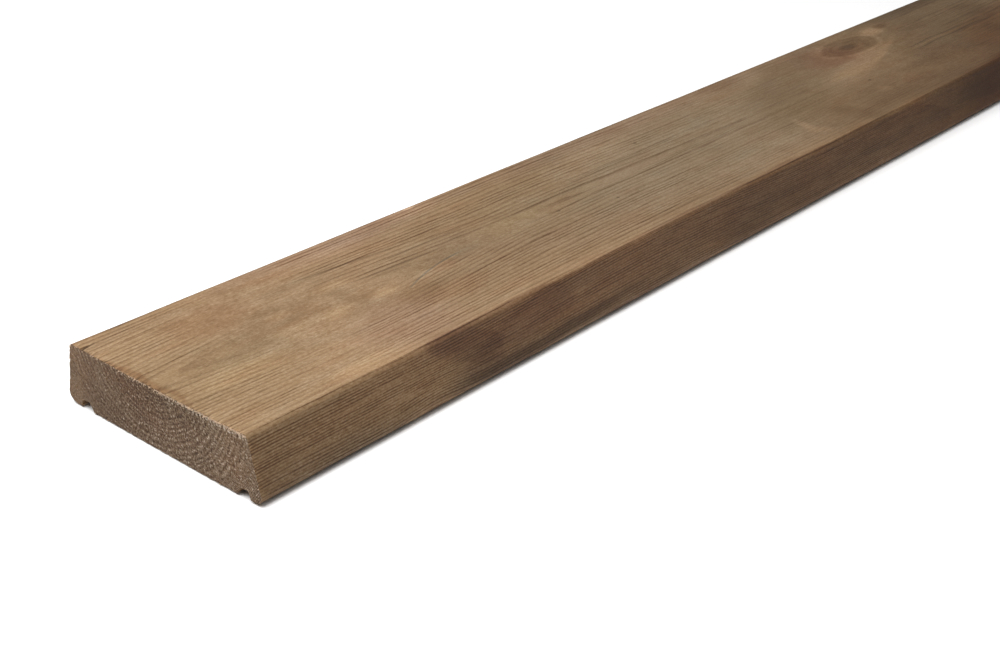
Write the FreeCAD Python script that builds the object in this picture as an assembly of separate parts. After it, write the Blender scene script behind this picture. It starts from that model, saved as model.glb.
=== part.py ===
import FreeCAD, Part

import math
import os

# Decking board: one length of planed, treated softwood with tapered sides and a grooved underside.
# Millimetres. X runs along the grain, Y across the board, Z up from the underside.
# The origin is the middle of the underside. The near side is the one at negative Y.

# Driving dimensions of the stock
board_length = 1800.0
board_width = 120.0          # overall, between the widest points of the two rounded feet
board_thickness = 28.0
side_lean = 12.5             # degrees that each side leans in towards the narrower top face
top_arris_radius = 2.5
foot_radius = 3.3            # rounding between each side and the underside

# Driving dimensions of the two relief grooves that run the whole length of the underside
near_land_width = 3.0        # flat land between the near foot's rounding and its groove
far_land_width = 4.8
groove_depth = 3.5
groove_ceiling_width = 4.5
groove_inner_run = 2.6       # how far the wall towards the board's middle leans over its height
groove_outer_run = 0.8       # the same for the steeper wall beside the land
groove_mouth_radius = 0.5
groove_ceiling_radius = 0.8


def rounded_corner(before, corner, after, radius):
    """Start, middle and end of the arc that rounds a corner, tangent to both of its sides."""
    back = (before - corner).normalize()
    ahead = (after - corner).normalize()
    half_angle = back.getAngle(ahead) / 2
    setback = radius / math.tan(half_angle)
    inward = (back + ahead).normalize()
    centre_distance = radius / math.sin(half_angle)
    middle = corner + inward * (centre_distance - radius)
    return corner + back * setback, middle, corner + ahead * setback


def rounded_wire(corners):
    """Closed wire through the corners, each given as a point and the radius that rounds it."""
    points = [point for point, radius in corners]
    bends = []
    for index, (point, radius) in enumerate(corners):
        following = points[(index + 1) % len(points)]
        bends.append(rounded_corner(points[index - 1], point, following, radius))
    edges = []
    for bend, next_bend in zip(bends, bends[1:] + bends[:1]):
        edges.append(Part.Arc(*bend).toShape())
        edges.append(Part.LineSegment(bend[-1], next_bend[0]).toShape())
    return Part.Wire(edges)


def section_point(across, up):
    """Point of the section, at the board's first sawn end."""
    return FreeCAD.Vector(-board_length / 2, across, up)


# The foot's rounding is tangent to the underside and to the leaning side. The sharp corner
# that it replaces stands out a little past the board's widest point.
lean = math.radians(side_lean)
foot_setback = foot_radius / math.tan((math.pi / 2 - lean) / 2)
corner_overhang = foot_setback - foot_radius
sharp_half_width = board_width / 2 + corner_overhang
top_half_width = sharp_half_width - board_thickness * math.tan(lean)


def groove_corners(side, land_width):
    """Corners of one groove, from its mouth beside the land to its mouth beside the middle.

    side is -1 for the near groove and +1 for the far one.
    """
    outer_mouth = sharp_half_width - foot_setback - land_width
    outer_ceiling = outer_mouth - groove_outer_run
    inner_ceiling = outer_ceiling - groove_ceiling_width
    inner_mouth = inner_ceiling - groove_inner_run
    return [
        (section_point(side * outer_mouth, 0), groove_mouth_radius),
        (section_point(side * outer_ceiling, groove_depth), groove_ceiling_radius),
        (section_point(side * inner_ceiling, groove_depth), groove_ceiling_radius),
        (section_point(side * inner_mouth, 0), groove_mouth_radius),
    ]


def board():
    """The whole board: its grooved section carried along the grain."""
    near_groove = groove_corners(-1, near_land_width)
    far_groove = groove_corners(1, far_land_width)
    section = [
        (section_point(-top_half_width, board_thickness), top_arris_radius),
        (section_point(-sharp_half_width, 0), foot_radius),
        *near_groove,
        *reversed(far_groove),
        (section_point(sharp_half_width, 0), foot_radius),
        (section_point(top_half_width, board_thickness), top_arris_radius),
    ]
    face = Part.Face(rounded_wire(section))
    return face.extrude(FreeCAD.Vector(board_length, 0, 0))


os.makedirs("parts", exist_ok=True)
nodes = {"board": board()}
for name, shape in nodes.items():
    if not shape.isValid() or len(shape.Solids) != 1:
        raise ValueError(name + " is not one valid solid")
    shape.exportStep("parts/" + name + ".step")
    box = shape.BoundBox
    print(name, "box", round(box.XLength, 3), round(box.YLength, 3), round(box.ZLength, 3))
    print(name, "volume in litres", round(shape.Volume / 1e6, 4), "top width", round(2 * top_half_width, 2))
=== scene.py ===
"""A decking board of treated softwood on a pale studio floor.

Objects are in metres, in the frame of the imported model. The wood's own features are placed in
millimetres: x along the grain from the sawn end that the camera sees, y across the board, and z
up from its underside.
"""

import logging
import math
import random
from dataclasses import dataclass
from enum import Enum
from typing import Sequence, Union

import bpy
import numpy as np
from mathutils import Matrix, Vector, noise


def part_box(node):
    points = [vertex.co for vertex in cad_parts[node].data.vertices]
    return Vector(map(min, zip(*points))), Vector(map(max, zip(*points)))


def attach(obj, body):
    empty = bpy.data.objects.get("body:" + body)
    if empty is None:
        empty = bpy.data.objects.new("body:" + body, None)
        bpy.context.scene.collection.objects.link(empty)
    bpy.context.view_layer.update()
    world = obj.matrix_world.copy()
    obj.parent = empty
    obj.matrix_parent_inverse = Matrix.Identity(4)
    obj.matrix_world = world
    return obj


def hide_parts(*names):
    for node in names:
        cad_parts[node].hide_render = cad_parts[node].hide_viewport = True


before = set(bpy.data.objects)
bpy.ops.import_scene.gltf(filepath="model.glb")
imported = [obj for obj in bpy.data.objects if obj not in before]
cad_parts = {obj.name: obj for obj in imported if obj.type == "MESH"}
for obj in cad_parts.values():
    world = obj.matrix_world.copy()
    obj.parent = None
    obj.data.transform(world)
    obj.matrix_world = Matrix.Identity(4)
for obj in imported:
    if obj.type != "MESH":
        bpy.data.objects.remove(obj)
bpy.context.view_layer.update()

log = logging.getLogger("decking_board")

MM = 0.001
NODE = "board"
BODY = "root"
LOW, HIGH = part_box(NODE)
LENGTH, WIDTH, THICKNESS = (HIGH - LOW) / MM

Triple = tuple[float, float, float]
Colour = tuple[float, float, float, float]


def paint(red: int, green: int, blue: int) -> Colour:
    """Turns a colour as a screen shows it into the linear colour that a shader takes.

    Args:
        red: Red from 0 to 255.
        green: Green from 0 to 255.
        blue: Blue from 0 to 255.

    Returns:
        The linear colour, with an alpha of 1.
    """
    shares = [level / 255 for level in (red, green, blue)]
    linear = [s / 12.92 if s <= 0.04045 else ((s + 0.055) / 1.055) ** 2.4 for s in shares]
    return (linear[0], linear[1], linear[2], 1.0)


class Signal:
    """A number, vector or colour that shader nodes work out at each point of a surface."""

    def __init__(self, tree: bpy.types.NodeTree, socket: bpy.types.NodeSocket) -> None:
        """Wraps an output socket of a node in the tree."""
        self.tree = tree
        self.socket = socket

    def math(self, operation: str, *others: "Operand") -> "Signal":
        """Runs this signal and the others through one Math node."""
        inputs = dict(enumerate((self, *others)))
        return add_node(self.tree, "ShaderNodeMath", inputs, operation=operation)

    def __add__(self, other: "Operand") -> "Signal":
        """This signal plus another."""
        return self.math("ADD", other)

    def __sub__(self, other: "Operand") -> "Signal":
        """This signal less another."""
        return self.math("SUBTRACT", other)

    def __rsub__(self, other: float) -> "Signal":
        """A plain number less this signal."""
        return self * -1.0 + other

    def __mul__(self, other: "Operand") -> "Signal":
        """This signal times another."""
        return self.math("MULTIPLY", other)

    __radd__ = __add__
    __rmul__ = __mul__

    def sine(self) -> "Signal":
        """The sine of this signal, in radians."""
        return self.math("SINE")

    def ramp(self, low: float, high: float) -> "Signal":
        """A smooth step from 0 at low to 1 at high, which falls where low is above high.

        Args:
            low: Where the step is 0.
            high: Where the step is 1.

        Returns:
            The step, from 0 to 1.
        """
        first, last = (0.0, 1.0) if low < high else (1.0, 0.0)
        inputs = {0: self, 1: min(low, high), 2: max(low, high), 3: first, 4: last}
        kind = "ShaderNodeMapRange"
        return add_node(self.tree, kind, inputs, interpolation_type="SMOOTHSTEP")

    def lifted(self, share: "Signal") -> "Signal":
        """This colour made lighter and greyer by a share, or darker and deeper below 0."""
        return add_node(self.tree, "ShaderNodeGamma", {0: self, 1: share * -0.56 + 1.0})

    def toned(self, share: "Operand", tone: Union["Signal", Colour], way: str) -> "Signal":
        """This colour mixed with another.

        Args:
            share: How much of the other colour goes in, from 0 to 1.
            tone: The other colour.
            way: Blender's name of the blend, such as MIX or MULTIPLY.

        Returns:
            The mixed colour.
        """
        inputs = {0: share, 6: self, 7: tone}
        kind = "ShaderNodeMix"
        return add_node(self.tree, kind, inputs, 2, data_type="RGBA", blend_type=way)


Operand = Union[Signal, float]


def add_node(
    tree: bpy.types.NodeTree,
    kind: str,
    inputs: dict[int, object],
    output: int = 0,
    **settings: object,
) -> Signal:
    """Adds a node, makes its settings and feeds its inputs.

    Args:
        tree: The node tree to add to.
        kind: The node's type name in Blender.
        inputs: What feeds each input, by the input's number: a signal or a plain value.
        output: The number of the output to carry on from.
        **settings: The node's own settings.

    Returns:
        The chosen output.
    """
    node = tree.nodes.new(kind)
    for name, value in settings.items():
        setattr(node, name, value)
    for number, value in inputs.items():
        if isinstance(value, Signal):
            tree.links.new(value.socket, node.inputs[number])
        else:
            node.inputs[number].default_value = value
    return Signal(tree, node.outputs[output])


def new_material(name: str) -> bpy.types.Material:
    """Makes a material whose node tree is empty."""
    material = bpy.data.materials.new(name)
    material.use_nodes = True
    material.node_tree.nodes.clear()
    return material


def show(shader: Signal) -> None:
    """Makes a shader the surface of its material."""
    surface = shader.tree.nodes.new("ShaderNodeOutputMaterial")
    shader.tree.links.new(shader.socket, surface.inputs[0])


def split(vector: Signal) -> list[Signal]:
    """The three parts of a vector."""
    kind = "ShaderNodeSeparateXYZ"
    return [add_node(vector.tree, kind, {0: vector}, axis) for axis in range(3)]


class WoodPlace:
    """Where in the wood a shader is at work: millimetres along, across and up."""

    def __init__(self, vector: Signal) -> None:
        """Takes the place as one vector and keeps its three parts too."""
        self.vector = vector
        self.tree = vector.tree
        self.x, self.y, self.z = split(vector)

    @classmethod
    def of_object(cls, tree: bpy.types.NodeTree) -> "WoodPlace":
        """Reads the place from an object's own coordinates, which are metres from its middle."""
        metres = add_node(tree, "ShaderNodeTexCoord", {}, 3)
        inputs = {0: metres, 1: (1 / MM,) * 3, 2: (LENGTH / 2, 0.0, 0.0)}
        return cls(add_node(tree, "ShaderNodeVectorMath", inputs, operation="MULTIPLY_ADD"))

    def speckle(
        self, along: float, across: float, detail: float = 2.0, shift: float = 0.0
    ) -> Signal:
        """Uneven lightness that is drawn out along the grain.

        Args:
            along: The size of a fleck along the grain, in millimetres.
            across: The size of a fleck across the grain, in millimetres.
            detail: How many times finer flecks are added.
            shift: Millimetres that tell one layer of flecks from another.

        Returns:
            A signal that swings around 0, mostly between -1 and 1.
        """
        steps = {0: self.vector, 1: (1 / along, 1 / across, 1 / across), 2: (shift,) * 3}
        spread = add_node(self.tree, "ShaderNodeVectorMath", steps, operation="MULTIPLY_ADD")
        inputs = {0: spread, 2: 1.0, 3: detail, 4: 0.6}
        return (add_node(self.tree, "ShaderNodeTexNoise", inputs) - 0.5) * 4.0

    def swirled(self, size: float, reach: Triple) -> "WoodPlace":
        """The same place pushed about, so that what is drawn there gets uneven edges.

        Args:
            size: The size of one swirl, in millimetres.
            reach: How far the place is pushed along, across and up.

        Returns:
            The pushed place.
        """
        steps = {0: self.vector, 1: (0.5 / size, 1 / size, 1 / size)}
        spread = add_node(self.tree, "ShaderNodeVectorMath", steps, operation="MULTIPLY")
        clouds = add_node(self.tree, "ShaderNodeTexNoise", {0: spread, 2: 1.0, 3: 2.0}, 1)
        half = tuple(-length / 2 for length in reach)
        inputs = {0: clouds, 1: reach, 2: half}
        push = add_node(self.tree, "ShaderNodeVectorMath", inputs, operation="MULTIPLY_ADD")
        kind = "ShaderNodeVectorMath"
        return WoodPlace(add_node(self.tree, kind, {0: self.vector, 1: push}, operation="ADD"))


class Face(Enum):
    """A face of the board: where it starts, and its own directions along and across."""

    TOP = ((0.0, 0.0, THICKNESS), (1, 0, 0), (0, 1, 0))
    UNDERSIDE = ((0.0, 0.0, 0.0), (1, 0, 0), (0, 1, 0))
    NEAR_SIDE = ((0.0, -WIDTH / 2, 0.0), (1, 0, 0), (0, 0, 1))
    FAR_SIDE = ((0.0, WIDTH / 2, 0.0), (1, 0, 0), (0, 0, 1))
    NEAR_END = ((0.0, 0.0, 0.0), (0, 1, 0), (0, 0, 1))


@dataclass(frozen=True)
class Oval:
    """An oval place on a face.

    Along is millimetres from the near sawn end, and across is y on the top and the underside and z
    on the sides. On the end itself, along is y and across is z. The turn is in degrees, and the
    depth is how far the place goes into the wood.
    """

    face: Face
    along: float
    across: float
    half_length: float
    half_width: float
    turn: float = 0.0
    depth: float = 7.0

    def reach(self, place: WoodPlace) -> Signal:
        """How far a place is from the oval's middle, as a share of the oval's half sizes."""
        origin, along, across = (Vector(part) for part in self.face.value)
        turn = math.radians(self.turn)
        arms = (
            (along * math.cos(turn) + across * math.sin(turn)) / self.half_length,
            (across * math.cos(turn) - along * math.sin(turn)) / self.half_width,
            along.cross(across) / self.depth,
        )
        kind = "ShaderNodeVectorMath"
        inputs = {0: place.vector, 1: origin + along * self.along + across * self.across}
        away = add_node(place.tree, kind, inputs, operation="SUBTRACT")
        shares = [
            add_node(place.tree, kind, {0: away, 1: arm}, 1, operation="DOT_PRODUCT")
            for arm in arms
        ]
        joined = add_node(place.tree, "ShaderNodeCombineXYZ", dict(enumerate(shares)))
        return add_node(place.tree, kind, {0: joined}, 1, operation="LENGTH")

    def cover(self, place: WoodPlace, softness: float = 0.5) -> Signal:
        """How far the oval covers a place, from 0 outside to 1 inside.

        Args:
            place: Where the cover is read.
            softness: The width of the fading edge, as a share of the half sizes.

        Returns:
            The cover, from 0 to 1.
        """
        return self.reach(place).ramp(1.0 + softness, 1.0 - softness)


class Tint(Enum):
    """What a mark in the wood does to its colour: a factor for red, green and blue."""

    SHADE = (0.50, 0.49, 0.455, 1.0)
    DARK = (0.50, 0.47, 0.43, 1.0)
    BROWN = (0.70, 0.63, 0.55, 1.0)
    UMBER = (0.70, 0.62, 0.61, 1.0)
    RED = (0.92, 0.78, 0.70, 1.0)
    HONEY = (1.00, 0.96, 0.86, 1.0)
    OLIVE = (0.80, 0.87, 0.85, 1.0)
    MAUVE = (1.00, 0.98, 1.11, 1.0)
    PALE = (1.42, 1.44, 1.46, 1.0)
    CREAM = (2.30, 2.45, 2.65, 1.0)
    GREEN_GREY = (0.87, 0.97, 1.09, 1.0)
    BLUE_GREY = (0.55, 0.63, 0.74, 1.0)


@dataclass(frozen=True)
class Mark:
    """A stain, streak or pale patch in the wood; a few marks are painted shade and painted light.
    """

    oval: Oval
    tint: Tint
    amount: float = 1.0
    softness: float = 0.5

    def apply(self, colour: Signal, place: WoodPlace) -> Signal:
        """Lays the mark over a colour."""
        share = self.oval.cover(place, self.softness) * self.amount
        return colour.toned(share, self.tint.value, "MULTIPLY")


@dataclass(frozen=True)
class Vein:
    """A thin line on the top that leaves the grain in a smooth bend.

    It starts below its level by the bend and reaches the level at its finish, in millimetres.
    """

    start: float
    finish: float
    level: float
    bend: float
    tint: Tint
    amount: float = 0.8
    half_width: float = 0.5
    wander: float = 0.3
    depth: float = 3.0

    def apply(self, colour: Signal, place: WoodPlace) -> Signal:
        """Draws the line over a colour.

        Args:
            colour: The colour to draw on.
            place: Where the wood is read.

        Returns:
            The colour with the line.
        """
        to_go = (place.x - self.finish) * (1.0 / (self.start - self.finish))
        wavy = (place.x * 0.13).sine() * self.wander
        away = (place.y + to_go * to_go * self.bend - wavy - self.level).math("ABSOLUTE")
        cover = away.ramp(self.half_width * 1.7, self.half_width * 0.3)
        ends = to_go.ramp(1.04, 0.8) * to_go.ramp(-0.04, 0.2)
        skin = place.z.ramp(THICKNESS - 2 * self.depth, THICKNESS - self.depth)
        return colour.toned(cover * ends * skin * self.amount, self.tint.value, "MULTIPLY")


@dataclass(frozen=True)
class Swell:
    """A bulge of the growth rings, which makes their lines run round a place."""

    oval: Oval
    rings: float

    def lift(self, place: WoodPlace) -> Signal:
        """How many rings the bulge adds at a place."""
        return self.oval.reach(place).ramp(1.9, 0.0) * self.rings


@dataclass(frozen=True)
class CalmPlace:
    """A cloudy area in which the lines of the growth rings nearly vanish."""

    oval: Oval
    amount: float = 0.85

    def clarity(self, place: WoodPlace) -> Signal:
        """How much of the rings' lines the area lets through, from 0 to 1."""
        return self.oval.cover(place, 0.4) * -self.amount + 1.0


@dataclass(frozen=True)
class Knot:
    """A branch that the saw has cut across, with the grain flowing round it."""

    oval: Oval
    rings: float = 3.0
    darkness: float = 0.5

    def lift(self, place: WoodPlace) -> Signal:
        """How many growth rings are pushed aside by the knot at a place."""
        return self.oval.reach(place).ramp(2.2, 0.4) * self.rings

    def apply(self, colour: Signal, place: WoodPlace) -> Signal:
        """Darkens a colour inside the knot, most at its core, and draws its own fine rings.

        Args:
            colour: The colour of the wood round the knot.
            place: Where the wood is read.

        Returns:
            The colour with the knot.
        """
        reach = self.oval.reach(place)
        lines = (reach * 17.0 + place.speckle(6.0, 2.0) * 1.6).sine() * 0.07
        rim = reach.ramp(0.95, 1.2) * reach.ramp(1.6, 1.2)
        colour = colour.toned(rim * 0.2, Tint.PALE.value, "MULTIPLY")
        inside = reach.ramp(1.15, 0.85) * self.darkness
        colour = colour.toned(inside * 0.8, Tint.BROWN.value, "MULTIPLY")
        core = reach.ramp(0.42, 0.05) * self.darkness
        colour = colour.toned(core * 0.75, Tint.DARK.value, "MULTIPLY")
        return colour.lifted(lines * reach.ramp(1.7, 1.0))


@dataclass(frozen=True)
class GrowthRings:
    """The trunk's growth rings, which the saw and the planer have cut through.

    Each ring is a flattened circle round the pith, which runs just above the board. The rings
    that reach the sides stand closer together.
    """

    pith_height: float = 34.0
    flattening: float = 1.25
    pace: float = 0.38
    lean: float = -0.02
    crowding: float = 6.0
    crowding_starts: float = 57.0
    unevenness: float = 0.22
    flecks_in_ring: float = 2.0
    flecks_round: float = 36.0
    swells: tuple[Swell, ...] = ()

    def count(self, place: WoodPlace, knots: tuple[Knot, ...]) -> Signal:
        """The number of rings between the pith and a place.

        Args:
            place: Where the rings are counted.
            knots: The knots that push the rings aside.

        Returns:
            The count, which is whole at the outer edge of each ring.
        """
        across, below = self.from_pith(place)
        radius = (across * across + below * below).math("SQRT")
        beyond = (radius - self.crowding_starts).math("MAXIMUM", 0.0)
        crowded = ((beyond + 4.0).math("SQRT") - 2.0) * self.crowding
        total = radius * self.pace + place.y * self.lean + crowded
        total = total + (radius * 0.41 + place.x * 0.004).sine() * 0.25
        total = total + place.speckle(46.0, 7.0, 2.0, 3.1) * self.unevenness
        for bulge in (*self.swells, *knots):
            total = total + bulge.lift(place)
        return total

    def from_pith(self, place: WoodPlace) -> tuple[Signal, Signal]:
        """How far a place is beside the pith and, in flattened millimetres, below it."""
        sway = (place.x * 0.0061 + 0.4).sine() * 2.2 + (place.x * 0.0233 + 2.0).sine() * 0.7
        rise = (place.x * 0.0047 + 5.2).sine() * 0.4 + (place.x * 0.0171 + 1.0).sine() * 0.15
        return place.y - sway, (rise + self.pith_height - place.z) * self.flattening

    def rows(self, place: WoodPlace, count: Signal) -> Signal:
        """Unevenness that is drawn out along the rings of a cut across the grain.

        Args:
            place: Where the wood is read.
            count: The number of rings between the pith and the place.

        Returns:
            A signal that swings around 0, mostly between -1 and 1.
        """
        across, below = self.from_pith(place)
        arc = across.math("ARCTAN2", below) * self.flecks_round
        inputs = {0: count * self.flecks_in_ring, 1: arc, 2: place.x * 0.3}
        flecks = add_node(place.tree, "ShaderNodeCombineXYZ", inputs)
        inputs = {0: flecks, 2: 1.0, 3: 1.0, 4: 0.6}
        return (add_node(place.tree, "ShaderNodeTexNoise", inputs) - 0.5) * 4.0


class Facing:
    """How far the surface is a top, a side, a sawn end and an arris with painted highlight, each
    from 0 to 1.
    """

    def __init__(self, tree: bpy.types.NodeTree) -> None:
        """Reads the direction of the surface in the board's own frame."""
        along, across, up = split(add_node(tree, "ShaderNodeTexCoord", {}, 1))
        self.top = up.ramp(0.35, 0.8)
        sideways = across.math("ABSOLUTE")
        self.side = sideways.ramp(0.12, 0.34)
        self.end = along.math("ABSOLUTE").ramp(0.45, 0.75)
        self.arris = sideways.ramp(0.06, 0.13) * sideways.ramp(0.3, 0.18) * self.top


@dataclass(frozen=True)
class SoftwoodFinish:
    """Pressure-treated softwood: planed long faces and dull, fuzzy sawn ends, with painted shade
    on the sides and ends.
    """

    earlywood: Colour = paint(137, 111, 82)
    latewood: Colour = paint(88, 60, 34)
    # Painted shade, with a slightly warmer tone: darkens the sides against the top.
    side_shade_and_tone: Colour = (0.73, 0.68, 0.62, 1.0)
    # Painted shade together with the end grain's greyer tone: darkens the sawn ends against the
    # top.
    end_shade_and_tone: Colour = (0.60, 0.58, 0.61, 1.0)
    roughness: float = 0.76
    gloss: float = 0.25
    ring_relief: float = 0.05
    fibre_relief: float = 0.06
    end_relief: float = 0.34
    rings: GrowthRings = GrowthRings()
    knots: tuple[Knot, ...] = ()
    marks: tuple[Mark, ...] = ()
    fine_marks: tuple[Union[Mark, Vein], ...] = ()
    calm_places: tuple[CalmPlace, ...] = ()
    rough_patch: Oval = Oval(Face.NEAR_END, -20.0, 14.0, 46.0, 30.0, 0.0, 8.0)

    def material(self, name: str) -> bpy.types.Material:
        """Builds the wood as a solid texture, so that every cut through it agrees.

        Args:
            name: The material's name.

        Returns:
            The material.
        """
        material = new_material(name)
        tree = material.node_tree
        place = WoodPlace.of_object(tree)
        loose = place.swirled(22.0, (14.0, 7.0, 7.0))
        facing = Facing(tree)
        count = self.rings.count(place, self.knots)
        clear = self.clarity(place)
        late = self.late_bands(place, facing, count) * clear
        colour = self.clear_wood(place, facing, late, clear)
        # The marks lay stains over the wood, and also painted shade and painted light.
        for mark in self.marks:
            colour = mark.apply(colour, loose)
        for mark in self.fine_marks:
            colour = mark.apply(colour, place)
        for knot in self.knots:
            colour = knot.apply(colour, loose)
        # Painted shade on the sides, laid by the direction of the surface.
        planed = colour.toned(facing.side, self.side_shade_and_tone, "MULTIPLY")
        # Painted highlight: a pale band along the rounded arris between the top and the sides.
        planed = planed.toned(facing.arris * 0.3, Tint.PALE.value, "MULTIPLY")
        rows = self.rings.rows(place, count) * 0.9 + (count * math.tau).sine() * 0.32
        sawn = self.sawn_end(colour, place, rows)
        colour = self.frayed_rim(planed, place).toned(facing.end, sawn, "MIX")
        relief = self.relief(place, late, facing)
        shine = late * -0.1 + self.roughness
        inputs = {0: colour, 2: shine, 5: relief, 13: self.gloss}
        show(add_node(tree, "ShaderNodeBsdfPrincipled", inputs))
        return material

    def clarity(self, place: WoodPlace) -> Operand:
        """How clearly the rings' lines show at a place, from 0 in a calm place to 1."""
        clear: Operand = 1.0
        for calm in self.calm_places:
            clear = calm.clarity(place) * clear
        return clear

    def late_bands(self, place: WoodPlace, facing: Facing, count: Signal) -> Signal:
        """The dark latewood at the outer edge of each ring.

        Args:
            place: Where the wood is read.
            facing: Which face the surface is.
            count: The number of rings between the pith and the place.

        Returns:
            How dark the band is, from 0 to 1.
        """
        through = count.math("FRACT")
        number = count.math("FLOOR")
        strength = (number * 2.4 + 1.1).sine() * 0.16 + (number * 0.83).sine() * 0.16 + 0.74
        band = through.ramp(0.3, 0.8) * through.ramp(1.0, 0.88)
        gaps = facing.side * 0.2 + facing.end * -0.35 + 0.75
        broken = place.speckle(22.0, 1.6, 3.0, 7.7) * gaps + 0.98
        worn = place.x.ramp(60.0, 180.0) * 0.07 + place.x.ramp(220.0, 500.0) * -0.5
        worn = worn + place.x.ramp(540.0, 640.0) * 0.18 + place.x.ramp(740.0, 900.0) * 0.3
        sides = place.x.ramp(420.0, 580.0) * -0.8 + place.x.ramp(740.0, 900.0) * 0.7 + 0.55
        shown = worn * facing.top + facing.side * sides + facing.end * -0.3 + 0.7
        return (band * strength * broken * shown).math("MAXIMUM", 0.0)

    def clear_wood(
        self, place: WoodPlace, facing: Facing, late: Signal, clear: Operand
    ) -> Signal:
        """The colour of the wood between its marks: bands, fibres, flecks and clouds.

        Args:
            place: Where the wood is read.
            facing: Which face the surface is.
            late: How much latewood there is.
            clear: How clearly the rings' lines show. Where they don't, the wood is mottled.

        Returns:
            The colour.
        """
        inputs = {0: late, 6: self.earlywood, 7: self.latewood}
        bands = add_node(place.tree, "ShaderNodeMix", inputs, 2, data_type="RGBA")
        fibres = place.speckle(26.0, 0.9, 3.0) * 0.11 + place.speckle(5.0, 1.1, 2.0, 11.0) * 0.10
        hairy = place.x.ramp(130.0, 10.0) * 0.08 + facing.side * 0.1 + 0.18
        fuzz = place.speckle(1.5, 0.8, 2.0, 3.3) * hairy
        mottle = place.speckle(9.0, 5.0, 3.0, 13.0) * 0.17
        mottle = mottle + place.speckle(1.8, 1.4, 1.0, 15.0) * 0.15
        clouds = place.speckle(60.0, 18.0, 3.0, 5.3) * 0.11
        clouds = clouds + place.speckle(17.0, 8.0, 3.0, 9.3) * 0.08 + mottle * (1.0 - clear)
        colour = bands.lifted(fibres + fuzz + clouds)
        warmth = place.speckle(38.0, 13.0, 2.0, 21.0)
        colour = colour.toned(warmth.ramp(0.0, 0.9) * 0.35, Tint.RED.value, "MULTIPLY")
        return colour.toned(warmth.ramp(0.0, -0.9) * 0.25, Tint.GREEN_GREY.value, "MULTIPLY")

    def sawn_end(self, colour: Signal, place: WoodPlace, rows: Signal) -> Signal:
        """Dulls a colour with painted shade and speckles it with dark pores and pale crushed
        fibres.

        Args:
            colour: The colour of the wood below.
            place: Where the wood is read.
            rows: The unevenness along the rings.

        Returns:
            The colour of the sawn end.
        """
        torn = place.z.ramp(24.0, 26.5) * place.y.ramp(5.0, -20.0)
        nicks = (place.y * 3.1 + place.speckle(3.0, 6.0, 1.0, 19.0) * 2.0).sine()
        rough = self.rough_patch.cover(place) * 0.95 + torn * 0.6 + 1.0
        coarse = place.speckle(3.0, 3.0, 2.0, 2.0)
        fine = place.speckle(0.9, 0.9, 1.0, 6.0)
        dots = fine + coarse * 0.3 + rows * 0.6
        flecks = dots.ramp(0.8, 2.0) * 0.8
        share = (dots * 0.4 + flecks) * rough + torn * (nicks * 0.55 + 0.35)
        share = share.math("MINIMUM", 1.1)
        # Painted shade and the end grain's greyer tone, then the speckles.
        sawn = colour.toned(1.0, self.end_shade_and_tone, "MULTIPLY").lifted(share)
        return sawn.toned(dots.ramp(-0.5, -1.6) * rough * 0.4, Tint.BROWN.value, "MULTIPLY")

    def frayed_rim(self, colour: Signal, place: WoodPlace) -> Signal:
        """Draws the pale tufts and the dark nicks where the saw left the long faces."""
        from_end = (place.x - LENGTH / 2).math("ABSOLUTE") * -1.0 + LENGTH / 2
        rim = from_end.ramp(2.2, 0.5)
        tufts = place.speckle(3.0, 0.9, 1.0, 17.0)
        frayed = place.y.ramp(20.0, -20.0) * 0.4 + 0.2
        pale = tufts.ramp(0.1, 0.9) * place.z.ramp(12.0, 24.0) * frayed
        colour = colour.toned(rim * pale, Tint.PALE.value, "MULTIPLY")
        return colour.toned(rim * tufts.ramp(-0.1, -0.7) * 0.9, Tint.DARK.value, "MULTIPLY")

    def relief(self, place: WoodPlace, late: Signal, facing: Facing) -> Signal:
        """The raised grain of the planed faces and the rough sawn ends.

        Args:
            place: Where the wood is read.
            late: How much latewood there is, which stands proud.
            facing: Which face the surface is.

        Returns:
            The bumped direction of the surface.
        """
        planed = late * self.ring_relief + place.speckle(14.0, 0.6, 3.0, 1.7) * self.fibre_relief
        sawn = place.speckle(0.8, 0.8, 3.0, 4.0) * self.end_relief
        height = add_node(place.tree, "ShaderNodeMix", {0: facing.end, 2: planed, 3: sawn})
        return add_node(place.tree, "ShaderNodeBump", {0: 1.0, 1: MM, 3: height})


@dataclass(frozen=True)
class TornFibreFinish:
    """Pale, dry fibres that the saw has pulled loose."""

    pale: Colour = paint(188, 162, 136)
    dark: Colour = paint(126, 100, 78)
    roughness: float = 0.9

    def material(self, name: str) -> bpy.types.Material:
        """Builds the fibres' material.

        Args:
            name: The material's name.

        Returns:
            The material.
        """
        material = new_material(name)
        tree = material.node_tree
        place = WoodPlace.of_object(tree)
        share = (place.speckle(2.0, 1.2) * 0.5 + 0.3).math("MAXIMUM", 0.0)
        inputs = {0: share, 6: self.pale, 7: self.dark}
        colour = add_node(tree, "ShaderNodeMix", inputs, 2, data_type="RGBA")
        shader = add_node(tree, "ShaderNodeBsdfPrincipled", {0: colour, 2: self.roughness})
        show(shader)
        return material


@dataclass(frozen=True)
class FloorFinish:
    """The studio floor's matt white paint."""

    white: Colour = (0.9, 0.9, 0.9, 1.0)
    roughness: float = 0.95

    def material(self, name: str) -> bpy.types.Material:
        """Builds the floor's material.

        Args:
            name: The material's name.

        Returns:
            The material.
        """
        material = new_material(name)
        tree = material.node_tree
        shader = add_node(tree, "ShaderNodeBsdfPrincipled", {0: self.white, 2: self.roughness})
        show(shader)
        return material


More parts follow.
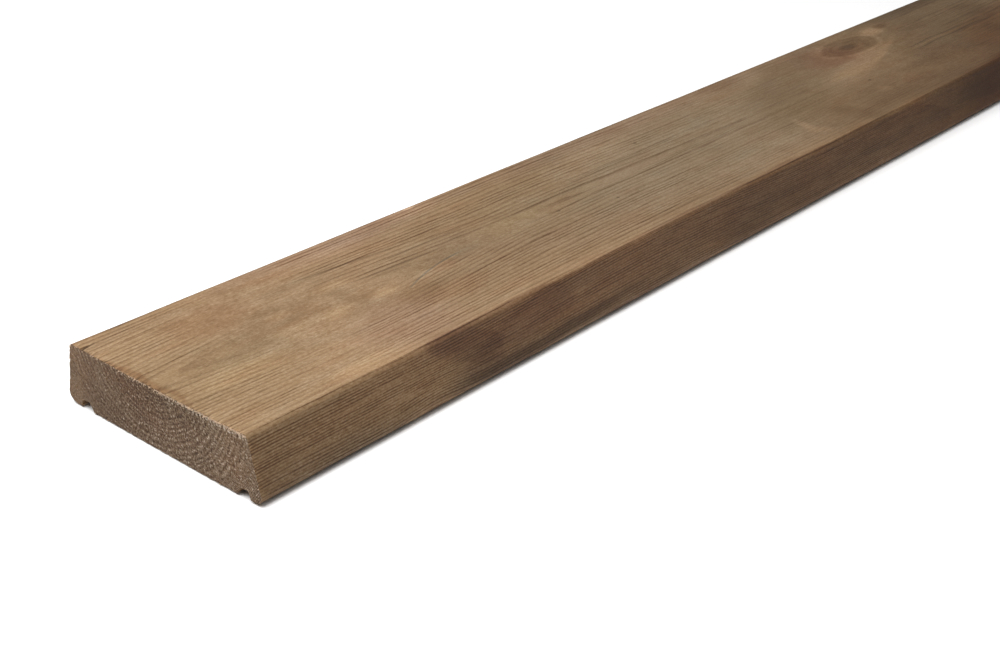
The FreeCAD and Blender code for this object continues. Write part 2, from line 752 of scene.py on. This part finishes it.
@dataclass(frozen=True)
class Corner:
    """A corner of the section before it is rounded."""

    across: float
    up: float
    radius: float

    def rounded(self, before: "Corner", after: "Corner", steps: int) -> np.ndarray:
        """The arc that rounds the corner, tangent to both of its sides.

        Args:
            before: The corner ahead of this one.
            after: The corner behind this one.
            steps: The number of straight pieces in the arc.

        Returns:
            The arc's points, one row of y and z for each.
        """
        tip = np.array((self.across, self.up))
        arms = [np.array((other.across, other.up)) - tip for other in (before, after)]
        first, last = (arm / np.linalg.norm(arm) for arm in arms)
        half_angle = math.acos(float(np.dot(first, last))) / 2
        inward = (first + last) / np.linalg.norm(first + last)
        centre = tip + inward * self.radius / math.sin(half_angle)
        start = tip + first * self.radius / math.tan(half_angle) - centre
        finish = tip + last * self.radius / math.tan(half_angle) - centre
        sweep = math.pi - 2 * half_angle
        turns = np.linspace(0.0, sweep, steps + 1)[:, None]
        return centre + (np.sin(sweep - turns) * start + np.sin(turns) * finish) / math.sin(sweep)


@dataclass(frozen=True)
class BoardSection:
    """The outline of a cut across the board, in millimetres and degrees.

    The sides lean in towards the top, and a relief groove runs near each side of the underside.
    """

    side_lean: float = 12.5
    top_arris_radius: float = 2.5
    foot_radius: float = 3.3
    near_land: float = 3.0
    far_land: float = 4.8
    groove_depth: float = 3.5
    groove_ceiling: float = 4.5
    groove_inner_run: float = 2.6
    groove_outer_run: float = 0.8
    groove_mouth_radius: float = 0.5
    groove_ceiling_radius: float = 0.8
    arc_steps: int = 12
    bend_weight: float = 0.3

    def groove(self, side: int, land: float) -> list[Corner]:
        """The four corners of a relief groove, from its land towards the middle.

        Args:
            side: -1 for the near groove and 1 for the far one.
            land: The flat that is left between the groove and the rounded foot.

        Returns:
            The groove's corners.
        """
        mouth = WIDTH / 2 - self.foot_radius - land
        steps = (0.0, self.groove_outer_run, self.groove_ceiling, self.groove_inner_run)
        offsets = np.cumsum(steps)
        heights = (0.0, self.groove_depth, self.groove_depth, 0.0)
        radii = (self.groove_mouth_radius, self.groove_ceiling_radius)
        rounds = (radii[0], radii[1], radii[1], radii[0])
        return [Corner(side * (mouth - o), h, r) for o, h, r in zip(offsets, heights, rounds)]

    def edges(self) -> list[np.ndarray]:
        """The outline as four open edges that meet in the middle of the rounded corners.

        Returns:
            The near side downwards, the underside, the far side upwards and the top.
        """
        lean = math.radians(self.side_lean)
        setback = self.foot_radius / math.tan((math.pi / 2 - lean) / 2)
        foot = WIDTH / 2 - self.foot_radius + setback
        arris = foot - THICKNESS * math.tan(lean)
        corners = [
            Corner(-arris, THICKNESS, self.top_arris_radius),
            Corner(-foot, 0.0, self.foot_radius),
            *self.groove(-1, self.near_land),
            *reversed(self.groove(1, self.far_land)),
            Corner(foot, 0.0, self.foot_radius),
            Corner(arris, THICKNESS, self.top_arris_radius),
        ]
        arcs = [
            corner.rounded(corners[i - 1], corners[(i + 1) % len(corners)], self.arc_steps)
            for i, corner in enumerate(corners)
        ]
        half = self.arc_steps // 2
        return [
            np.concatenate((arcs[0][half:], arcs[1][: half + 1])),
            np.concatenate((arcs[1][half:], *arcs[2:-2], arcs[-2][: half + 1])),
            np.concatenate((arcs[-2][half:], arcs[-1][: half + 1])),
            np.concatenate((arcs[-1][half:], arcs[0][: half + 1])),
        ]

    def spread(self, edge: np.ndarray, count: int) -> np.ndarray:
        """Places points along an edge, closer together round its bends.

        Args:
            edge: The edge's own points.
            count: The number of gaps between the new points.

        Returns:
            The new points, with the first and the last of the edge among them.
        """
        gaps = np.linalg.norm(np.diff(edge, axis=0), axis=1)
        run = np.concatenate(([0.0], np.cumsum(gaps + self.bend_weight)))
        stops = np.linspace(0.0, run[-1], count + 1)
        return np.stack([np.interp(stops, run, edge[:, axis]) for axis in (0, 1)], axis=1)


@dataclass(frozen=True)
class RowPlan:
    """How closely the rows of points stand along the board: (millimetres along, gap)."""

    gaps: tuple[tuple[float, float], ...] = (
        (0.0, 0.8), (8.0, 1.6), (60.0, 4.0), (190.0, 6.5), (520.0, 12.0), (550.0, 5.5),
        (615.0, 5.5), (650.0, 16.0), (1400.0, 32.0), (1700.0, 22.0), (1792.0, 1.6), (1800.0, 0.8),
    )

    def stations(self) -> np.ndarray:
        """The places of the rows along the board, from its near end to its far end."""
        fine = np.linspace(0.0, LENGTH, 6001)
        places, gaps = np.array(self.gaps).T
        share = LENGTH / places[-1]
        rate = 1.0 / np.interp(fine, places * share, gaps)
        run = np.concatenate(([0.0], np.cumsum((rate[1:] + rate[:-1]) / 2 * np.diff(fine))))
        return np.interp(np.linspace(0.0, run[-1], round(run[-1]) + 1), run, fine)


@dataclass
class DeckingBoard:
    """The board itself: one closed mesh with planed faces, sawn ends and a slight cup."""

    section: BoardSection = BoardSection()
    rows: RowPlan = RowPlan()
    points_across: int = 180
    points_up: int = 48
    top_cup: float = 0.9
    underside_cup: float = 0.5
    waviness: float = 0.10
    end_roughness: float = 0.22
    knot_middle: tuple[float, float] = (584.0, 32.0)
    knot_size: tuple[float, float] = (27.0, 10.0)
    knot_dip: float = 0.3
    split_middle: float = 46.5
    split_length: float = 6.0
    split_half_width: float = 0.8
    split_depth: float = 1.1
    fray_length: float = 2.6
    fray_depth: float = 0.55
    side_fray: float = 0.3
    sharp_angle: float = 50.0

    def settle(self, points: np.ndarray) -> np.ndarray:
        """Gives the sharp-cut shape the cup, ripples and dips of real timber.

        Args:
            points: One row of x, y and z in millimetres for each point.

        Returns:
            The moved points.
        """
        x, y, z = points.T
        middle = 1.0 - np.clip(np.abs(y) / (WIDTH / 2), 0.0, 1.0) ** 2
        height = z / THICKNESS
        cup = -(self.top_cup * height + self.underside_cup * (1.0 - height)) * middle
        reach = np.hypot((x - self.knot_middle[0]) / self.knot_size[0],
                         (y - self.knot_middle[1]) / self.knot_size[1])
        dip = -self.knot_dip * np.exp(-reach ** 2) * (z > THICKNESS * 0.8)
        beside = np.abs(y - self.split_middle - x * 0.1) / self.split_half_width
        open_share = np.clip(1.0 - x / self.split_length, 0.0, 1.0)
        split = -self.split_depth * open_share * np.clip(1.0 - beside, 0.0, 1.0)
        split = split * (z > THICKNESS * 0.8)
        ripple = np.array([self.ripple(*point) for point in points])
        moved = points.copy()
        moved[:, 1] += ripple[:, 1] * np.sign(y) * np.clip(np.abs(y) / (WIDTH / 2), 0.0, 1.0) ** 4
        moved[:, 2] += cup + dip + split + ripple[:, 2] * (2 * height - 1)
        return moved

    def fray(self, points: np.ndarray, moved: np.ndarray) -> np.ndarray:
        """Tears small nicks into the long faces where the saw left them.

        Args:
            points: The skin's points before they were settled.
            moved: The same points afterwards.

        Returns:
            The settled points, with the nicks.
        """
        torn = moved.copy()
        for number, (x, y, z) in enumerate(points):
            from_end = min(x, LENGTH - x)
            if from_end >= self.fray_length:
                continue
            share = (1.0 - from_end / self.fray_length) ** 2
            tear = max(0.0, noise.noise((x / 4.0, y / 1.1, z / 1.1)) * 2.2)
            nick = self.fray_depth * share * tear
            if z > THICKNESS - 1.0:
                torn[number, 2] -= nick
            elif abs(y) > WIDTH * 0.44:
                torn[number, 1] -= math.copysign(nick * self.side_fray, y)
            if from_end == 0.0:
                torn[number, 0] += self.saw_mark((x, y, z), -1 if x == 0.0 else 1)
        return torn

    def ripple(self, x: float, y: float, z: float) -> Vector:
        """The planer's and the weather's small unevenness at a point, in millimetres."""
        return noise.noise_vector((x / 38.0, y / 9.0, z / 9.0)) * self.waviness

    def cap(self, edges: list[np.ndarray]) -> np.ndarray:
        """Fills the section with a grid that fits its four edges.

        Args:
            edges: The four edges, each already spread into points.

        Returns:
            The grid's points by steps up and steps across.
        """
        near, under, far, top = edges
        near, top = near[::-1], top[::-1]
        u = np.linspace(0.0, 1.0, len(under))[None, :, None]
        v = np.linspace(0.0, 1.0, len(near))[:, None, None]
        ruled = (1 - v) * under[None] + v * top[None] + (1 - u) * near[:, None] + u * far[:, None]
        corners = (1 - v) * ((1 - u) * under[0] + u * under[-1])
        return ruled - corners - v * ((1 - u) * top[0] + u * top[-1])

    def mesh(self) -> bpy.types.Mesh:
        """Builds the board's closed mesh.

        Returns:
            The mesh, in metres.
        """
        counts = (self.points_up, self.points_across, self.points_up, self.points_across)
        edges = [self.section.spread(e, n) for e, n in zip(self.section.edges(), counts)]
        loop = np.concatenate([edge[:-1] for edge in edges])
        stations = self.rows.stations()
        around = len(loop)
        skin = np.concatenate([np.column_stack((np.full(around, x), loop)) for x in stations])
        faces = []
        for row in range(len(stations) - 1):
            first = row * around
            for i in range(around):
                j = (i + 1) % around
                faces.append((first + i, first + j, first + around + j, first + around + i))
        grid = self.cap(edges)
        points = [self.fray(skin, self.settle(skin))]
        total = len(skin)
        for x, first, outward in ((0.0, 0, -1), (LENGTH, (len(stations) - 1) * around, 1)):
            index, inner = self.cap_index(grid.shape[:2], first, total)
            total += len(inner)
            flat = np.array([(x, *grid[row, column]) for row, column in inner])
            level = self.settle(flat)
            level[:, 0] += [self.saw_mark(point, outward) for point in flat]
            points.append(level)
            for row in range(index.shape[0] - 1):
                for column in range(index.shape[1] - 1):
                    ring = (index[row, column], index[row, column + 1],
                            index[row + 1, column + 1], index[row + 1, column])
                    faces.append(tuple(map(int, ring if outward > 0 else ring[::-1])))
        placed = np.concatenate(points)
        placed[:, 0] -= LENGTH / 2
        mesh = bpy.data.meshes.new("board")
        mesh.from_pydata((placed * MM).tolist(), [], faces)
        mesh.validate()
        return mesh

    def cap_index(
        self, shape: tuple[int, int], first: int, total: int
    ) -> tuple[np.ndarray, list[tuple[int, int]]]:
        """Numbers the points of a sawn end, whose rim it shares with the long faces.

        Args:
            shape: The grid's steps up and across.
            first: The number of the first rim point.
            total: The number of points that exist already.

        Returns:
            The number of each grid point, and the places of the new ones.
        """
        tall, wide = shape
        up, across = tall - 1, wide - 1
        index = np.full(shape, -1)
        index[::-1, 0] = first + np.arange(tall)
        index[0, :] = first + up + np.arange(wide)
        index[:, -1] = first + up + across + np.arange(tall)
        index[-1, ::-1] = first + 2 * up + across + np.arange(wide)
        index[-1, 0] = first
        inner = [(row, column) for row in range(1, up) for column in range(1, across)]
        for offset, spot in enumerate(inner):
            index[spot] = total + offset
        return index, inner

    def saw_mark(self, point: Sequence[float], outward: int) -> float:
        """How far the fuzzy sawn face stands out of its plane at a point, in millimetres."""
        _, y, z = point
        coarse = noise.noise((y / 2.6, z / 2.6, outward * 9.0))
        fine = noise.noise((y / 1.1, z / 1.1, outward * 4.0))
        return self.end_roughness * (coarse + 0.8 * fine)

    def build(self, finish: SoftwoodFinish) -> bpy.types.Object:
        """Builds the board and dresses it.

        Args:
            finish: The wood's finish.

        Returns:
            The board, riding on its body in place of the plain solid.
        """
        mesh = self.mesh()
        mesh.shade_smooth()
        mesh.set_sharp_from_angle(angle=math.radians(self.sharp_angle))
        mesh.materials.append(finish.material("softwood"))
        board = bpy.data.objects.new("planed_board", mesh)
        bpy.context.scene.collection.objects.link(board)
        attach(board, BODY)
        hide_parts(NODE)
        return board


@dataclass
class TornFibres:
    """Slivers that stand up where the saw broke out of the wood."""

    board: DeckingBoard
    count: int = 460
    length: tuple[float, float] = (0.4, 1.5)
    thickness: tuple[float, float] = (0.12, 0.32)
    top_share: float = 0.92
    near_bias: float = 0.45
    seed: int = 7

    def sliver(self, rng: random.Random, root: Vector, outward: int) -> tuple[list, list]:
        """Makes one tapered sliver.

        Args:
            rng: The seeded source of chance.
            root: Where the sliver grows from, in millimetres.
            outward: -1 at the near end and 1 at the far end.

        Returns:
            The sliver's points and faces.
        """
        size = rng.uniform(*self.thickness)
        reach = rng.uniform(*self.length)
        side, up = rng.uniform(-1.0, 1.0), rng.uniform(-0.9, 0.35)
        lean = Vector((outward * rng.uniform(0.1, 0.5), side, up))
        tip = root + lean.normalized() * reach
        tip.z = max(tip.z, 0.0)
        base = [root + Vector((outward * 0.5 * size, a * size, b * size))
                for a, b in ((-1, -1), (1, -1), (1, 1), (-1, 1))]
        faces = [(3, 2, 1, 0)] + [(i, (i + 1) % 4, 4) for i in range(4)]
        return base + [tip], faces

    def build(self, finish: TornFibreFinish) -> bpy.types.Object:
        """Builds the slivers as one piece and dresses them.

        Args:
            finish: The slivers' finish.

        Returns:
            The slivers, riding on the board's body.
        """
        rng = random.Random(self.seed)
        section = self.board.section
        near, under, far, top = (section.spread(edge, 400) for edge in section.edges())
        points, faces = [], []
        for outward, x in ((-1, 0.0), (1, LENGTH)):
            for _ in range(self.count // 2):
                edge = top if rng.random() < self.top_share else rng.choice((near, under, far))
                y, z = edge[int(len(edge) * rng.random() ** self.near_bias)]
                place = np.array([(x, y * 0.995, z * 0.99)])
                root = Vector(self.board.settle(place)[0])
                shape, sides = self.sliver(rng, root, outward)
                faces += [tuple(len(points) + i for i in side) for side in sides]
                points += [(point - Vector((LENGTH / 2, 0, 0))) * MM for point in shape]
        mesh = bpy.data.meshes.new("torn_fibres")
        mesh.from_pydata(points, [], faces)
        mesh.materials.append(finish.material("torn_fibre"))
        fibres = bpy.data.objects.new("torn_fibres", mesh)
        bpy.context.scene.collection.objects.link(fibres)
        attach(fibres, BODY)
        return fibres


@dataclass
class Studio:
    """The white floor and the soft lights, in metres and watts."""

    floor_half_width: float = 30.0
    floor_drop: float = 0.0012
    sky_strength: float = 0.17
    overhead_size: float = 7.0
    overhead_height: float = 3.6
    overhead_power: float = 165.0
    key_size: float = 0.8
    key_place: Triple = (-1.25, 0.0, 1.05)
    key_aim: Triple = (-0.85, 0.0, 0.0)
    key_power: float = 15.0

    def build(self) -> None:
        """Lays the floor and hangs the lights."""
        half = self.floor_half_width
        corners = [(-half, -half), (half, -half), (half, half), (-half, half)]
        mesh = bpy.data.meshes.new("floor")
        mesh.from_pydata([(x, y, -self.floor_drop) for x, y in corners], [], [(0, 1, 2, 3)])
        mesh.materials.append(FloorFinish().material("floor_paint"))
        floor = bpy.data.objects.new("floor", mesh)
        bpy.context.scene.collection.objects.link(floor)
        self.add_light("overhead", (0, 0, self.overhead_height), (0, 0, 0),
                       self.overhead_size, self.overhead_power)
        self.add_light("key", self.key_place, self.key_aim, self.key_size, self.key_power)
        world = bpy.data.worlds.new("studio_air")
        world.use_nodes = True
        background = world.node_tree.nodes["Background"]
        background.inputs[0].default_value = (1.0, 1.0, 1.0, 1.0)
        background.inputs[1].default_value = self.sky_strength
        bpy.context.scene.world = world
        bpy.context.scene.view_settings.view_transform = "Standard"

    def add_light(self, name: str, place: Triple, aim: Triple, size: float, power: float) -> None:
        """Hangs one soft square light.

        Args:
            name: The light's name.
            place: Where it hangs.
            aim: What it faces.
            size: Its width.
            power: Its power in watts.
        """
        lamp = bpy.data.lights.new(name, "AREA")
        lamp.shape = "SQUARE"
        lamp.size = size
        lamp.energy = power
        light = bpy.data.objects.new(name, lamp)
        light.visible_camera = False
        light.location = place
        towards = Vector(aim) - Vector(place)
        light.rotation_euler = towards.to_track_quat("-Z", "Y").to_euler()
        bpy.context.scene.collection.objects.link(light)


@dataclass
class PhotoCamera:
    """The camera at the photograph's place and angle."""

    place: Triple = (-1.17816, -0.41973, 0.29964)
    facing: Triple = (0.66834, 0.58757, -0.45617)
    lens: float = 52.85
    sensor: float = 36.0

    def build(self) -> None:
        """Sets up the camera and makes it the scene's own."""
        data = bpy.data.cameras.new("camera")
        data.lens = self.lens
        data.sensor_width = self.sensor
        data.clip_start = 0.01
        camera = bpy.data.objects.new("camera", data)
        camera.location = self.place
        camera.rotation_euler = Vector(self.facing).to_track_quat("-Z", "Y").to_euler()
        bpy.context.scene.collection.objects.link(camera)
        bpy.context.scene.camera = camera


def top(along: float, across: float, half_length: float, half_width: float, turn: float = 0.0,
        depth: float = 7.0) -> Oval:
    """An oval on the top face."""
    return Oval(Face.TOP, along, across, half_length, half_width, turn, depth)


def near_side(along: float, up: float, half_length: float, half_width: float, turn: float = 0.0,
              depth: float = 7.0) -> Oval:
    """An oval on the near side."""
    return Oval(Face.NEAR_SIDE, along, up, half_length, half_width, turn, depth)


def near_end(across: float, up: float, half_width: float, half_height: float, turn: float = 0.0,
             depth: float = 2.0) -> Oval:
    """An oval on the near sawn end."""
    return Oval(Face.NEAR_END, across, up, half_width, half_height, turn, depth)


EYE = top(88, 2, 70, 34, 3.0, 12.0)
SIDE_SWIRL = near_side(93, 4, 17, 8, 8, 5.0)
CALM_PLACES = (
    CalmPlace(top(72, 27, 36, 32, 0, 12)),
    CalmPlace(top(86, -2, 46, 20, 0, 12)),
    CalmPlace(top(62, -34, 26, 20, 0, 12), 0.55),
    CalmPlace(top(30, 2, 30, 9, 0, 10), 0.6),
    CalmPlace(top(594, 8, 74, 58, 0, 12), 0.7),
    CalmPlace(top(186, 2, 62, 8, 0, 10), 0.9),
)

TOP_KNOT = Knot(top(584, 32, 29, 11, 2.0, 9.0), 3.2, 1.0)
FURTHER_KNOTS = (
    Knot(top(1062, -22, 24, 9.0, -3.0, 9.0), 3.0, 0.7),
    Knot(Oval(Face.UNDERSIDE, 840, 14, 12, 9.0), 3.0, 0.9),
    Knot(Oval(Face.UNDERSIDE, 1330, -30, 10, 8.0), 3.0, 0.9),
    Knot(near_side(1392, 15, 16, 6.0), 2.4, 0.8),
    Knot(Oval(Face.FAR_SIDE, 700, 13, 18, 6.0), 2.4, 0.8),
)

# Stains, streaks and tone in the wood, together with broad painted shade that darkens the board
# towards its far end and a painted light strip along the near side's foot.
STAINS_AND_PAINTED_LIGHT_AND_SHADE = (
    # Painted shade: darkens the top gradually from about 160 mm on, in place of light falling off
    # along the board.
    Mark(top(980, 0, 820, 190, 0, 60), Tint.SHADE, 0.3, 0.1),
    Mark(top(350, 0, 165, 46, 0, 20), Tint.GREEN_GREY, 0.85, 0.5),
    Mark(top(560, -25, 146, 74, 0, 12), Tint.BROWN, 0.42, 0.1),
    # Painted shade: a darker zone on the top from about 450 mm on, for light falling off along the
    # board.
    Mark(top(640, -5, 190, 90, 0, 40), Tint.SHADE, 0.42, 0.3),
    Mark(top(690, 58, 80, 14, 0, 8), Tint.SHADE, 0.55, 0.5),
    Mark(top(715, -30, 78, 34, 12, 12), Tint.RED, 1.0, 0.3),
    Mark(top(560, -34, 110, 24, 0, 10), Tint.RED, 0.3, 0.5),
    Mark(top(460, -12, 34, 22, 0, 10), Tint.HONEY, 0.7, 0.6),
    Mark(top(235, 20, 44, 34, 0, 10), Tint.HONEY, 0.7, 0.6),
    Mark(top(575, 8, 78, 22, 4, 8), Tint.PALE, 0.4, 0.6),
    Mark(top(604, -34, 32, 16, 0, 8), Tint.PALE, 0.45, 0.6),
    Mark(top(666, -24, 16, 10, 0, 8), Tint.PALE, 0.3, 0.6),
    Mark(top(560, 38, 14, 7, 0, 8), Tint.PALE, 0.25, 0.6),
    Mark(top(142, -25, 20, 9, 0, 8), Tint.RED, 0.35, 0.6),
    Mark(top(305, 29, 40, 11, 0, 8), Tint.PALE, 0.35, 0.6),
    Mark(top(670, 50, 24, 8, 0, 8), Tint.SHADE, 0.25, 0.6),
    Mark(top(708, -16, 26, 14, 0, 8), Tint.SHADE, 0.25, 0.6),
    Mark(top(24, 6, 46, 30, 0, 12), Tint.OLIVE, 0.3, 0.5),
    Mark(top(14, -28, 34, 34, 0, 12), Tint.OLIVE, 0.35, 0.6),
    Mark(top(104, -12, 14, 8, 0, 8), Tint.SHADE, 0.22, 0.6),
    Mark(top(104, -34, 22, 20, 0, 10), Tint.MAUVE, 0.8, 0.6),
    Mark(top(140, 52, 62, 12, 0, 10), Tint.MAUVE, 0.9, 0.5),
    Mark(top(370, 52, 170, 12, 0, 10), Tint.MAUVE, 0.6, 0.5),
    Mark(top(552, 30, 30, 20, 0, 10), Tint.MAUVE, 0.8, 0.6),
    Mark(top(690, -16, 40, 20, 10, 10), Tint.HONEY, 0.9, 0.6),
    Mark(top(190, 50, 16, 7, 0, 8), Tint.PALE, 0.45, 0.6),
    Mark(top(168, 0, 18, 6, 0, 8), Tint.SHADE, 0.2, 0.6),
    Mark(top(64, 2, 36, 18, 0, 8), Tint.SHADE, 0.16, 0.6),
    Mark(top(134, 4, 14, 9, 0, 8), Tint.SHADE, 0.2, 0.6),
    Mark(top(24, -12, 24, 7, 0, 8), Tint.PALE, 0.2, 0.6),
    Mark(top(70, -1, 10, 5, 0, 8), Tint.PALE, 0.3, 0.6),
    # Painted shade together with the wood's own darker tone: darkens the top from about 580 mm to
    # the far end.
    Mark(top(1300, -62, 740, 220, 0, 60), Tint.SHADE, 0.5, 0.04),
    Mark(top(665, -38, 75, 26, -6, 12), Tint.BROWN, 0.4, 0.4),
    Mark(top(520, -46, 76, 12, 0, 10), Tint.SHADE, 0.3, 0.5),
    Mark(top(452, 50, 18, 9, 0, 8), Tint.BROWN, 0.6, 0.6),
    Mark(top(508, -6, 36, 15, 20, 8), Tint.PALE, 0.34, 0.6),
    Mark(top(552, 7, 46, 8, 13, 8), Tint.PALE, 0.5, 0.6),
    Mark(top(465, -40, 9, 14, 0, 8), Tint.BROWN, 0.5, 0.6),
    Mark(top(430, -26, 3, 7, -24, 6), Tint.PALE, 0.6, 0.7),
    Mark(top(427, -38, 5, 6, 30, 6), Tint.PALE, 0.5, 0.7),
    Mark(top(517, -29, 6, 4, -20, 6), Tint.PALE, 0.35, 0.7),
    Mark(top(728, 14, 20, 12, 0, 8), Tint.BROWN, 0.6, 0.6),
    Mark(top(80, 22, 42, 24, 0, 12), Tint.SHADE, 0.2, 0.5),
    Mark(top(140, -28, 40, 18, 0, 12), Tint.SHADE, 0.16, 0.5),
    Mark(top(112, 43, 24, 8, 0, 7), Tint.PALE, 0.25, 0.7),
    Mark(top(162, 5, 24, 15, 0, 8), Tint.SHADE, 0.2, 0.7),
    Mark(top(50, 28, 18, 12, 0, 8), Tint.RED, 0.6, 0.7),
    Mark(top(16, 0, 26, 64, 0, 12), Tint.PALE, 0.2, 0.5),
    Mark(top(30, -18, 16, 10, 0, 12), Tint.PALE, 0.25, 0.6),
    Mark(top(35, 2, 24, 9, 8, 8), Tint.BROWN, 0.3, 0.7),
    Mark(top(128, -18, 12, 8, 12, 8), Tint.BROWN, 0.55, 0.6),
    Mark(top(68, 47, 7, 3.5), Tint.BROWN, 0.45, 0.7),
    Mark(top(69, 17.5, 8, 3.5), Tint.BROWN, 0.45, 0.7),
    Mark(top(73, 3, 9, 4), Tint.BROWN, 0.4, 0.7),
    Mark(top(87, 29, 9, 3), Tint.BROWN, 0.45, 0.7),
    Mark(top(103, -2, 8, 4), Tint.BROWN, 0.45, 0.7),
    Mark(top(36, 38, 9, 3), Tint.BROWN, 0.35, 0.7),
    Mark(top(107, 15.5, 9, 4), Tint.PALE, 0.45, 0.7),
    Mark(top(90, -5, 8, 4), Tint.PALE, 0.45, 0.7),
    Mark(top(115, -7, 7, 3), Tint.PALE, 0.45, 0.7),
    Mark(top(71, 12, 6, 3), Tint.PALE, 0.35, 0.7),
    Mark(top(70, -48, 22, 5, 0, 5), Tint.PALE, 0.5, 0.6),
    Mark(top(156, -6, 8, 3, 10, 5), Tint.RED, 0.6, 0.6),
    Mark(top(556, 27, 26, 11, 4, 6), Tint.RED, 0.75, 0.5),
    Mark(top(626, 40, 11, 6, 0, 6), Tint.CREAM, 0.36, 0.6),
    Mark(top(641, 41, 7, 3, 0, 4), Tint.BROWN, 0.9, 0.6),
    Mark(top(598, 14, 48, 2.4, 19, 4), Tint.PALE, 0.4, 0.8),
    Mark(near_side(330, 12, 222, 30, 0, 10), Tint.UMBER, 0.66, 0.03),
    Mark(near_side(136, 27, 53, 15, -8, 8), Tint.UMBER, 0.62, 0.08),
    Mark(near_side(110, 24, 32, 9, -27, 8), Tint.UMBER, 0.62, 0.08),
    Mark(near_side(118, 11, 16, 9, 0, 8), Tint.SHADE, 0.3, 0.5),
    Mark(near_side(160, 16, 34, 6, 0, 8), Tint.PALE, 0.25, 0.6),
    Mark(near_side(240, 25, 24, 4, 0, 8), Tint.PALE, 0.3, 0.6),
    Mark(near_side(110, 26, 20, 5, 0, 8), Tint.SHADE, 0.15, 0.6),
    Mark(near_side(520, 15, 140, 6, 0, 8), Tint.SHADE, 0.15, 0.5),
    Mark(near_side(420, 28, 150, 7, 0, 8), Tint.HONEY, 0.9, 0.6),
    Mark(near_side(660, 14, 120, 40, 0, 10), Tint.HONEY, 0.9, 0.3),
    Mark(near_side(25, 5, 44, 9, 0, 8), Tint.SHADE, 0.25, 0.5),
    Mark(near_side(250, 16, 46, 18, 0, 8), Tint.PALE, 0.22, 0.6),
    Mark(near_side(285, 4, 22, 6, 0, 8), Tint.PALE, 0.35, 0.6),
    Mark(near_side(332, 12, 34, 12, 0, 8), Tint.SHADE, 0.3, 0.6),
    Mark(near_side(495, 22, 40, 9, 0, 8), Tint.PALE, 0.6, 0.5),
    Mark(near_side(580, 10, 40, 10, 0, 8), Tint.SHADE, 0.25, 0.6),
    # Painted shade together with the wood's own browner tone: darkens the near side from about 560
    # mm to the far end.
    Mark(near_side(700, 14, 140, 40, 0, 12), Tint.BROWN, 0.61, 0.25),
    Mark(near_side(1220, 14, 660, 70, 0, 12), Tint.BROWN, 0.5, 0.053),
    Mark(near_side(340, 24, 260, 10, 0, 8), Tint.RED, 0.4, 0.5),
    Mark(near_side(490, 15, 120, 5, 0, 8), Tint.SHADE, 0.25, 0.6),
    Mark(near_side(640, 14, 130, 40, 0, 10), Tint.RED, 0.7, 0.3),
    Mark(near_side(690, 14, 100, 40, 0, 10), Tint.RED, 0.9, 0.3),
    Mark(near_side(165, 6, 62, 2.4, 2, 6), Tint.DARK, 0.72, 0.5),
    Mark(near_side(140, 2, 170, 6.0, 0, 6), Tint.GREEN_GREY, 0.8, 0.6),
    # Painted light: a pale strip along the near side's rounded foot, lifting the contact shadow
    # there.
    Mark(near_side(330, 1.0, 400, 2.6, 0, 4), Tint.PALE, 0.8, 0.5),
    Mark(near_side(93, 4, 13, 6, 8, 6), Tint.PALE, 0.4, 0.5),
    Mark(near_end(-50, 13, 18, 24), Tint.PALE, 0.55, 0.5),
    Mark(near_end(54, 12, 8, 22), Tint.PALE, 0.55, 0.6),
    Mark(near_end(14, 20, 36, 14), Tint.RED, 0.6, 0.5),
    Mark(near_end(4, 25, 28, 9), Tint.BROWN, 0.6, 0.6),
    Mark(near_end(27, 9, 18, 9), Tint.SHADE, 0.4, 0.6),
)

FINE_LINES = (
    Mark(top(128, 28, 29, 0.7, -6, 3), Tint.DARK, 0.7, 0.6),
    Mark(top(139, 10.3, 21, 0.7, -4, 3), Tint.DARK, 0.6, 0.6),
    Mark(top(162, 18, 28, 0.6, 0, 3), Tint.DARK, 0.55, 0.6),
    Vein(120, 171, -1.9, 13, Tint.PALE, 0.55, 0.7, 0.0),
    Vein(124, 173, -0.8, 12, Tint.BLUE_GREY, 0.9, 0.6, 0.0),
    Vein(265, 373, 15.0, 0, Tint.DARK, 0.5, 0.4),
    Vein(265, 373, 16.6, 0, Tint.DARK, 0.4, 0.4),
    Vein(306, 415, -1.5, 0, Tint.DARK, 0.5, 0.4),
    Vein(306, 415, 0.2, 0, Tint.DARK, 0.35, 0.4),
    Vein(604, 712, -3.6, 0, Tint.DARK, 0.7, 0.6, 0.5),
    Vein(604, 712, -0.8, 0, Tint.PALE, 0.6, 0.6, 0.5),
    Vein(604, 690, 2.0, 0, Tint.DARK, 0.6, 0.6, 0.5),
    Mark(top(273, 19, 0.7, 9, 12, 3), Tint.BROWN, 0.4, 0.7),
    Mark(top(340, 26, 1.4, 0.8, 0, 3), Tint.DARK, 0.9, 0.5),
    Mark(top(271, -15, 1.2, 0.6, 0, 3), Tint.DARK, 0.9, 0.5),
    Mark(top(238, -4, 1.1, 0.6, 0, 3), Tint.DARK, 0.9, 0.5),
    Mark(top(527, -14, 1.6, 0.8, 0, 3), Tint.DARK, 0.9, 0.5),
    Mark(top(191, 52.5, 3.0, 1.4, 0, 3), Tint.CREAM, 0.3, 0.5),
    Mark(top(2.5, 46.8, 4.0, 0.5, 6, 4), Tint.DARK, 1.0, 0.5),
)


def main() -> None:
    """Builds the pieces in order and reports each piece."""
    finish = SoftwoodFinish(
        rings=GrowthRings(swells=(Swell(EYE, -2.6), Swell(SIDE_SWIRL, 1.6))),
        knots=(TOP_KNOT, *FURTHER_KNOTS),
        marks=STAINS_AND_PAINTED_LIGHT_AND_SHADE,
        fine_marks=FINE_LINES,
        calm_places=CALM_PLACES,
    )
    board = DeckingBoard()
    pieces = [board.build(finish), TornFibres(board).build(TornFibreFinish())]
    for piece in pieces:
        log.info("%s: %d faces", piece.name, len(piece.data.polygons))
    Studio().build()
    PhotoCamera().build()


if __name__ == "__main__":
    logging.basicConfig(level=logging.INFO, format="%(name)s: %(message)s")
    main()
